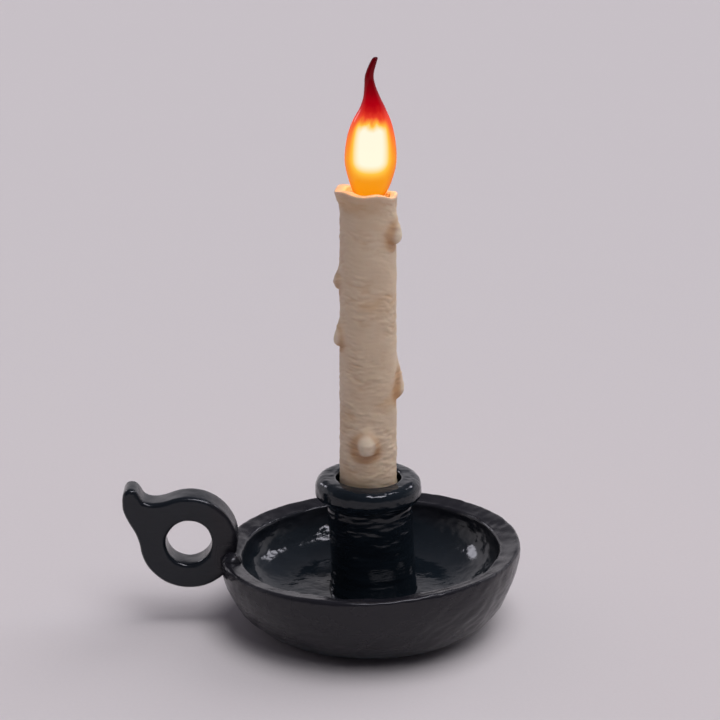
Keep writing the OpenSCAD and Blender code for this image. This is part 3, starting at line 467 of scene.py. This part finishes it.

# %% [markdown]
# ## Candle resin
# The candle is matte cream resin, brushed with a thin ochre wash and wiped off again, so that the wash
# stays in the hollows and round the drips. The knobs of the drips are painted pale, a painted highlight
# where they stand out into the light. The eye sees a warm, slightly pinkish cream, blotched over a few
# centimetres, with a fine dry grain. Light from the bulb shines a little way into the lip.

# %% Candle resin
candle_resin, tree, place = new_tree("cast resin, matte cream with ochre wash")
blotch = speckle(tree, place, 45, 5)
grain = speckle(tree, place, 1400, 3)
cream = mixed(tree, blotch, "#d2b89c", "#e5d0b7")
# Faint ochre streaks lie across the candle, each about 4 cm wide and 2 cm high.
STREAKS_PER_METRE = (26, 26, 52)
across = add(tree, "Mapping", {"Scale": STREAKS_PER_METRE}, {"Vector": place})
blush = span(tree, speckle(tree, across, 1, 4), 0.52, 0.72, 0, 0.38)
warm = mixed(tree, blush, cream, "#c79455")
# The points of the mesh tell how much wash each has kept, and how much painted highlight it gets on a
# drip's knob.
wash = add(tree, "Attribute", attribute_name="wash"), "Fac"
knob = add(tree, "Attribute", attribute_name="knob"), "Fac"
# The pale mix on the knobs is a painted highlight.
tone = mixed(tree, knob, mixed(tree, wash, warm, "#b3783a"), "#f2e4cf")
bump = add(tree, "Bump", {"Strength": 0.25, "Distance": 0.0003}, {"Height": grain})
wax = {"Subsurface Weight": 0.15, "Subsurface Radius": (0.004, 0.002, 0.001), "Subsurface Scale": 1}
surface(tree, {"Roughness": 0.62, "IOR": 1.46, **wax}, {"Base Color": tone, "Normal": bump})
print("made", candle_resin.name)

# %% [markdown]
# ## The candle
# The candle is a cast tube. Its wall is dabbed all over, its lip rises and falls and flares outwards to
# the left, and drips hang on it. A drip starts from nothing, widens and thickens downwards, and ends in
# a round knob. The same shape, drawn wider, gives the smudge of wash round it.

# %% Drips and lip
CANDLE_H, CANDLE_R, CANDLE_TOP_R, BORE_R = 247, 19.6, 18.7, 14.8
LIP_WAVE, LIP_FRONT, FLARE_OUT, FLARE_H = 1.8, 1.2, 2.5, 17
# Direction, upper and lower end above the foot, half width and thickness of each drip.
drips = [
    (338, 240, 214.5, 7, 5.4),
    (183, 200, 179.5, 6, 4),
    (197, 166, 141, 6, 5),
    (1, 142, 104, 6.5, 5),
    (267, 92, 68, 7.6, 6.2),
    (60, 226, 190, 6.5, 5),
    (110, 150, 112, 6.5, 4.6),
]


def drip_at(turn, height, spread=1.0):
    most = 0
    for direction, upper, lower, width, thick in drips:
        across = abs((turn - direction + 180) % 360 - 180) * math.pi / 180 * CANDLE_R
        middle = lower + width
        if height > middle:
            left = max(0, 1 - (height - middle) / (upper - middle))
            swell, reach = soft_step(0, 1, left) ** 1.2, width * (0.45 + 0.55 * left)
        else:
            swell, reach = math.sqrt(max(0, 1 - ((middle - height) / width / spread) ** 2)), width
        most = max(most, thick * swell * math.exp(-1.6 * (across / reach / spread) ** 2))
    return most


def lip_height(turn):
    front = max(0, -math.sin(math.radians(turn))) ** 2
    wave = math.cos(math.radians(turn - 200)) + 0.5 * math.cos(math.radians(5 * turn - 25))
    return CANDLE_H + LIP_WAVE * wave + LIP_FRONT * front


def flare(turn, height):
    to_left = 1 + 0.5 * math.cos(math.radians(turn - 185))
    return FLARE_OUT * to_left * max(0, 1 - (CANDLE_H - height) / FLARE_H) ** 2


lip_levels = [round(lip_height(turn), 1) for turn in range(360)]
print("lip between", min(lip_levels), "and", max(lip_levels))

# %% Candle
LIP_R = (CANDLE_TOP_R - BORE_R) / 2
LIP_MID_R = (CANDLE_TOP_R + BORE_R) / 2
FINE_DABS = [(0.38, 5, 5, 1.7, 71), (0.14, 2.6, 2.6, 1.4, 89)]
CANDLE_LEAN = 0.8

candle_line = stepped([(CANDLE_R, 0), (CANDLE_TOP_R, CANDLE_H - LIP_R)], 0.62)
candle_line += [Vector(p) for p in arc(LIP_MID_R, CANDLE_H - LIP_R, LIP_R, 15, 180, 11)]
candle_line += stepped([(BORE_R, 235), (BORE_R, 0)], 20)
candle_bm = turned(candle_line, 180)
wash_layer = candle_bm.verts.layers.float.new("wash")
knob_layer = candle_bm.verts.layers.float.new("knob")
for vert in candle_bm.verts:
    co = vert.co.copy()
    turn = math.degrees(math.atan2(co.y, co.x)) % 360
    radius = math.hypot(co.x, co.y)
    outer = soft_step(BORE_R + 0.5, LIP_MID_R + 1, radius)
    drip = drip_at(turn + 4 * mark(co, 9, 9, 7, 79), co.z + 1.5 * mark(co, 9, 9, 7, 83))
    patch = 0.35 + 0.65 * soft_step(-0.3, 0.3, mark(co, 22, 22, 16, 73))
    fine = marks(co, FINE_DABS)
    dab = 0.45 * mark(co, 13, 13, 10, 61) + patch * (0.42 * mark(co, 8, 8, 3, 67) + fine)
    grown = radius + outer * (drip + flare(turn, co.z) + dab)
    vert.co.x *= grown / radius
    vert.co.y *= grown / radius
    vert.co.x -= CANDLE_LEAN * co.z / CANDLE_H
    vert.co.z = SEAT_Z + co.z * lip_height(turn) / CANDLE_H
    halo = soft_step(0.3, 3.2, drip_at(turn + 5, co.z + 1, 1.7)) * (1 - soft_step(1.2, 4, drip))
    hollow = soft_step(0.05, 0.4, -dab)
    vert[wash_layer] = min(0.8, 0.55 * halo + 0.18 * hollow)
    # Where a drip stands out most, its knob gets a painted highlight.
    vert[knob_layer] = 0.5 * soft_step(2.5, 4.8, drip)
candle = to_object("dripping_candle", candle_bm)
hand_over(candle, candle_resin, "lamp", "candle_resin", "candle_sleeve")

# %% [markdown]
# ## Flame glass
# The bulb's glass is frosted inside and stained: amber from the neck to above the belly, then in short
# streaks through orange into a deep red that is almost black at the tip. Lit, the frost round the
# filaments is white. Towards its edges one looks along the stained glass, so it deepens to orange there.
# The red tip only smoulders. The smooth outside mirrors the studio faintly, and least at its edges,
# where the glow is all one sees.

# %% Flame glass
STAIN_FROM, STAIN_TO, STREAK_DEPTH = 0.303, 0.4, 0.006
stops = [(0, "#ea8c0e"), (0.2, "#ef9510"), (0.33, "#f5a016"), (0.47, "#f98222"), (0.55, "#f26024")]
stops += [(0.6, "#e8402a"), (0.65, "#c01818"), (0.69, "#a80010"), (0.76, "#84000c"), (0.85, "#640008")]
stops += [(1, "#480006")]
soft = {"interpolation_type": "SMOOTHSTEP"}

flame_glass, tree, place = new_tree("frosted lamp glass, amber to red")
long = add(tree, "Mapping", {"Scale": (260, 260, 40)}, {"Vector": place})
streak = speckle(tree, long, 1, 2)
height = add(tree, "SeparateXYZ", {}, {0: place}), "Z"
level = add(tree, "Math", {1: STREAK_DEPTH}, {0: streak, 2: height}, operation="MULTIPLY_ADD")
stain = ramp(tree, span(tree, level, STAIN_FROM, STAIN_TO), stops)
facing = add(tree, "LayerWeight", {"Blend": 0.5}), "Facing"
# The white core lies in the middle of the glass, between a level near the neck and one in the streaks.
middle = span(tree, facing, 0.04, 0.5, 1, 0, **soft)
foot = span(tree, height, 0.3165, 0.331, **soft)
head = span(tree, level, 0.352, 0.363, 1, 0, **soft)
core = times(tree, middle, times(tree, foot, head))
rim = span(tree, facing, 0.4, 0.9, 0, 0.85)
edge = mixed(tree, rim, stain, "#e88c40", blend_type="MULTIPLY")
warm = mixed(tree, span(tree, core, 0, 0.45), edge, "#fdc848")
shine = mixed(tree, span(tree, core, 0.4, 0.95), warm, "#fff8e0")
gleam = span(tree, facing, 0.4, 0.8, 0.16, 0.01)
unlit = mixed(tree, 0.85, stain, "#000000")
surface(
    tree,
    {"Roughness": 0.08, "IOR": 1.45, "Emission Strength": 1},
    {"Base Color": unlit, "Emission Color": shine, "Specular IOR Level": gleam},
)
print("made", flame_glass.name, "with", len(stops), "stains")

# %% [markdown]
# ## The flame bulb
# The glass is blown like a flame: a round belly, a quick taper, and a drawn-out tip that sways and then
# bends over. A smooth line through a few radii gives the shape; a second one moves each level sideways.
# The wall is thin, so the same line runs back down inside it.


# %% Flame bulb
def smooth_line(points, count):
    line = []
    padded = [points[0]] + points + [points[-1]]
    for a, b, c, d in zip(padded, padded[1:], padded[2:], padded[3:]):
        a, b, c, d = map(Vector, (a, b, c, d))
        for u in (i / count for i in range(count)):
            second = (2 * a - 5 * b + 4 * c - d) * u**2
            third = (3 * b - a - 3 * c + d) * u**3
            line.append(0.5 * (2 * b + (c - a) * u + second + third))
    return line + [Vector(points[-1])]


NECK_Z, GLASS_T, LINE_STEPS, SOLID_R = 300, 0.8, 6, 4
# Radius and sideways move of the glass, each with the height above the neck.
radii = [(8.3, 0), (8.7, 3.2), (11.9, 8.8), (14.7, 16.6), (16.6, 24.3), (17.1, 31), (16.4, 39.7)]
radii += [(14.9, 47.4), (12.4, 55.1), (8.7, 62.7), (5.6, 70.3), (3.7, 77.9), (2.8, 85.4), (2.3, 92)]
radii += [(2, 95), (1.3, 96.6), (0, 97)]
sway = [(0, 0), (0.9, 12), (1.1, 30), (1.4, 47), (2, 58), (2.3, 64), (1.7, 71), (0.6, 78), (0.2, 85)]
sway += [(2.6, 93), (4.4, 97)]
outer_line = smooth_line(radii, LINE_STEPS)
inner_line = [Vector((r - GLASS_T, z)) for r, z in outer_line if r > SOLID_R]
sway_line = smooth_line(sway, LINE_STEPS)


def sway_at(height):
    for a, b in zip(sway_line, sway_line[1:]):
        if height <= b.y:
            return a.x + (b.x - a.x) * (height - a.y) / max(1e-6, b.y - a.y)
    return sway_line[-1].x


glass_bm = turned(outer_line + [Vector((0, inner_line[-1].y + 1))] + inner_line[::-1], 96)
for vert in glass_bm.verts:
    vert.co.x += sway_at(vert.co.z)
    vert.co.z += NECK_Z
glass = to_object("flame_glass", glass_bm)
hand_over(glass, flame_glass, "bulb", "flame_glass", "bulb_glass")
glass.visible_shadow = False

# %% [markdown]
# ## Finishes of the pieces inside and underneath
# These pieces keep their shape. Each finish is one recipe with its own numbers: two tones that a noise
# mixes, the size of the grain in millimetres, how rough and how metallic it is, and how deep its grain.

# %% Recipe for a grained finish
finishes = {}


def grained(slot, name, dark, light, grain, rough, metallic=0.0, ior=1.5, depth=0.1, **extra):
    finishes[slot], tree, place = new_tree(name)
    spots = speckle(tree, place, 1000 / grain, 3)
    tone = mixed(tree, spots, dark, light)
    dull = span(tree, spots, 0.3, 0.7, rough * 0.8, rough * 1.2)
    bump = add(tree, "Bump", {"Strength": depth, "Distance": grain * MM}, {"Height": spots})
    special = {key.replace("_", " "): value for key, value in extra.items()}
    surface(
        tree,
        {"Metallic": metallic, "IOR": ior, **special},
        {"Base Color": tone, "Roughness": dull, "Normal": bump},
    )


# Turned brass: warm yellow, bright, with faint duller bands.
grained("brass", "brass, bright turned", "#b98d3a", "#d9b45e", 0.8, 0.24, metallic=1)
# Zinc on steel: pale grey with a soft spangle.
grained("steel", "steel, zinc plated", "#a4a8ac", "#c9ccd0", 1.5, 0.34, metallic=1)
# Black moulding: dull black with a fine even grain.
grained("black_plastic", "moulded plastic, fine-grained black", "#131315", "#1e1e21", 0.5, 0.55, depth=0.25)
# Heat-proof moulding: off-white, dry, slightly speckled.
grained("white_ceramic", "heat-proof moulding, off-white", "#d5cdbb", "#e8e2d5", 0.9, 0.5)
# Button: satin grey plastic, smoother than the cover.
grained("grey_button", "moulded plastic, satin grey", "#3a3a3f", "#4c4c52", 0.4, 0.42)
# Pad: soft dark rubber, almost without gloss.
grained("rubber", "rubber, soft dark", "#151516", "#232325", 0.7, 0.85, depth=0.35)
# Board: green solder mask over a woven sheet.
grained("board_green", "glass-fibre board, green mask", "#0f4427", "#1b6a3d", 1.2, 0.3)
# Cell sleeve: blue film shrunk tight and glossy.
grained("cell_wrap", "shrink film, glossy blue", "#255f96", "#3b7fbb", 6, 0.22, depth=0.03)
# Leads: smooth coloured insulation.
grained("red_lead", "lead insulation, red", "#8a0f10", "#b3211d", 1, 0.42)
grained("black_lead", "lead insulation, black", "#0d0d0e", "#1a1a1c", 1, 0.42)
# Stem: clear glass with a trace of green.
clear = {"depth": 0.01, "Transmission_Weight": 1.0}
grained("clear_glass", "lamp glass, clear", "#e6f0ec", "#f6fbf9", 5, 0.03, **clear)
# Filaments: yellow phosphor in silicone, here alight.
alight = {"Emission_Color": linear("#ffd9a0"), "Emission_Strength": 30.0}
grained("led_phosphor", "phosphor silicone, lit", "#f3c766", "#ffe2a0", 1, 0.5, **alight)
print(len(finishes), "finishes")

# %% Finish every piece that keeps its shape
kept = [part for part in frame["record"]["subparts"] if part["material_slot"] in finishes]
for part in kept:
    for slot in frame["nodes"][part["node"]].material_slots:
        slot.material = finishes[part["material_slot"]]
print("finished", len(kept), "pieces")

# %% [markdown]
# ## Stage and light
# The lamp stands on a pale grey sheet that is brightly lit behind it, while the camera's side of the
# room is dark. Three broad soft lights do the lighting: one from overhead, so the shadow under the dish
# is short and deep, one from the right and behind, so a weaker shadow falls to the left, and one from
# the front for the candle. They aren't mirrored in the glaze. Four softboxes are, and they do nothing
# else: a wide one high in front draws bright lines along the edges of handle, rim and collar, and three
# small ones stand where they are mirrored in the glints of the hollow. A small warm lamp inside the
# glass does what the lit filaments do: it lights the lip from within.

# %% Floor and room
FLOOR_HALF = 30000

sheet, tree, place = new_tree("backdrop paper, pale grey")
fibre = speckle(tree, place, 400, 3)
tone = mixed(tree, fibre, "#d6cfd3", "#dad3d7")
surface(tree, {"Roughness": 0.9, "Specular IOR Level": 0}, {"Base Color": tone})
floor_bm = bmesh.new()
bmesh.ops.create_grid(floor_bm, x_segments=2, y_segments=2, size=FLOOR_HALF)
floor = to_object("backdrop", floor_bm)
floor.data.materials.append(sheet)

world = bpy.data.worlds.new("studio")
world.use_nodes = True
tree = world.node_tree
tree.nodes.clear()
axes = add(tree, "SeparateXYZ", {}, {0: (add(tree, "TexCoord"), "Generated")})
# The room's tone from the horizon to straight overhead, and a darker one on the camera's side.
bands = [(0, "#d6d1d6"), (0.36, "#c8c4ca"), (0.52, "#706f76"), (1, "#5a5a63")]
haze = ramp(tree, (axes, "Z"), bands)
behind = span(tree, (axes, "Y"), -0.4, 0.4, **soft)
room = add(tree, "Background", {"Strength": 1.1}, {"Color": mixed(tree, behind, "#4c4b51", haze)})
add(tree, "OutputWorld", {}, {"Surface": room})
bpy.context.scene.world = world
print("floor", 2 * FLOOR_HALF * MM, "m wide")


# %% Lights
def light(name, kind, power, place, target, **settings):
    data = bpy.data.lights.new(name, kind)
    data.energy = power
    for key, value in settings.items():
        setattr(data, key, value)
    lamp = bpy.data.objects.new(name, data)
    lamp.location = place
    lamp.rotation_euler = (Vector(target) - Vector(place)).to_track_quat("-Z", "Y").to_euler()
    bpy.context.collection.objects.link(lamp)
    return lamp


SOFTBOX_WHITE, BULB_AMBER = linear("#eeecf8")[:3], linear("#ff9a32")[:3]
DISH_MID, FLAME_MID = (0, 0, 0.1), (0, 0, 0.334)
# Strength, place in metres and apparent width in degrees.
for name, strength, place, spread in [
    ("right_daylight", 0.8, (1.2, 0.9, 1.3), 52),
    ("overhead_daylight", 1.1, (0.3, -0.2, 2), 36),
    ("front_daylight", 0.6, (0.35, -0.8, 1.35), 30),
]:
    light(name, "SUN", strength, place, (0, 0, 0), angle=math.radians(spread)).visible_glossy = False
# Power in watts, then place, width and height in metres.
for name, power, place, wide, high in [
    ("front_softbox", 12, (0.3, -0.53, 1.45), 1.05, 0.4),
    ("top_softbox", 1.5, (0.46, 0.22, 1.33), 0.25, 0.25),
    ("back_right_softbox", 1.5, (0.84, 0.78, 0.99), 0.3, 0.3),
    ("back_left_softbox", 1.6, (-0.95, 0.96, 0.7), 0.36, 0.36),
]:
    oval = {"shape": "ELLIPSE", "size": wide, "size_y": high}
    box = light(name, "AREA", power, place, DISH_MID, color=SOFTBOX_WHITE, **oval)
    box.visible_diffuse = box.visible_camera = False
light("bulb_light", "POINT", 0.1, FLAME_MID, (0, 0, 0), shadow_soft_size=0.008, color=BULB_AMBER)

# %% [markdown]
# The camera's place, tilt and lens were fitted to the photograph, with the bulb's width as the measure.

# %% Camera
CAMERA_AT, CAMERA_TILT = (-0.00584, -1.61187, 0.73076), math.radians(71.47)
SENSOR_MM, LENS_MM, FARTHEST = 36, 126.53, 100

camera = bpy.data.objects.new("camera", bpy.data.cameras.new("camera"))
camera.data.sensor_width, camera.data.lens = SENSOR_MM, LENS_MM
camera.data.clip_end = FARTHEST
camera.location = CAMERA_AT
camera.rotation_euler = (CAMERA_TILT, 0, 0)
bpy.context.collection.objects.link(camera)
bpy.context.scene.camera = camera
bpy.context.scene.view_settings.view_transform = "Standard"
print("stage set")
